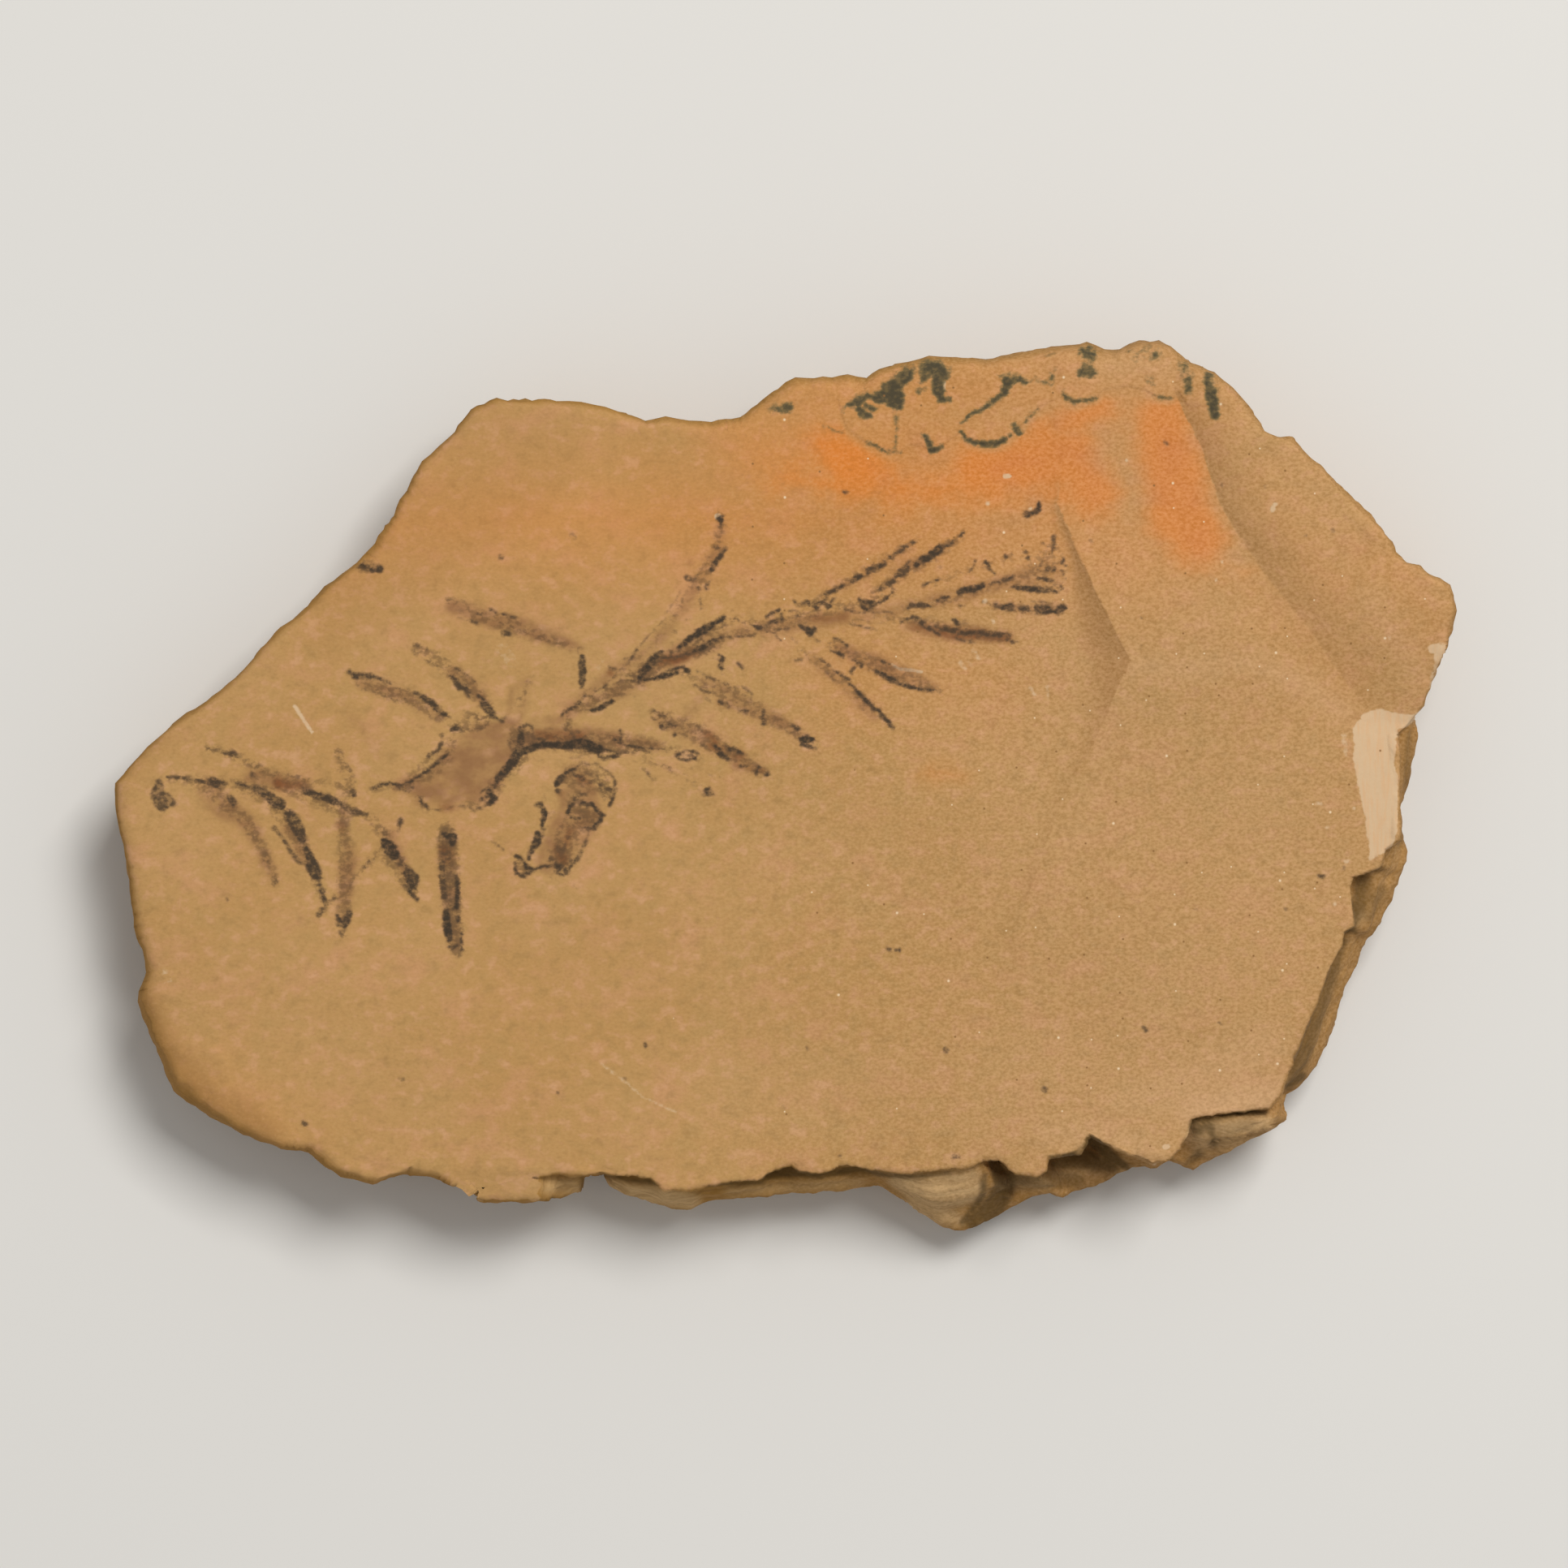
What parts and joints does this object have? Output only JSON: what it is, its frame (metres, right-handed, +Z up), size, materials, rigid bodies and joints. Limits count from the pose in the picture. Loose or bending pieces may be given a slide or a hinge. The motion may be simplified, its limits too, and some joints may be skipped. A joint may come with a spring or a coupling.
{
  "type": "fossil dawn redwood leaf on a stone slab",
  "caption": "Flat, irregular slab of tan shale with stepped broken edges, carrying the dark carbon film of a leafy conifer shoot on its upper bedding plane.",
  "frame": {"origin": "centre of the slab's bounding box in plan, on the flat underside that it rests on", "axes": "+Z up, away from the surface it lies on and out of the leaf's face; +X along the slab's length, toward the end where the shoot's tip points; +Y toward the back edge, the thick shoot's upper side"},
  "size_m": [0.1252, 0.0838, 0.0147],
  "materials": {
    "shale": "matt, fine-grained tan shale split along its bedding, with a near-black carbon film, orange iron stains, dark green-black manganese marks and a pale fresh break"
  },
  "bodies": {
    "root": {"stone_slab": "shale"}
  },
  "joints": []
}
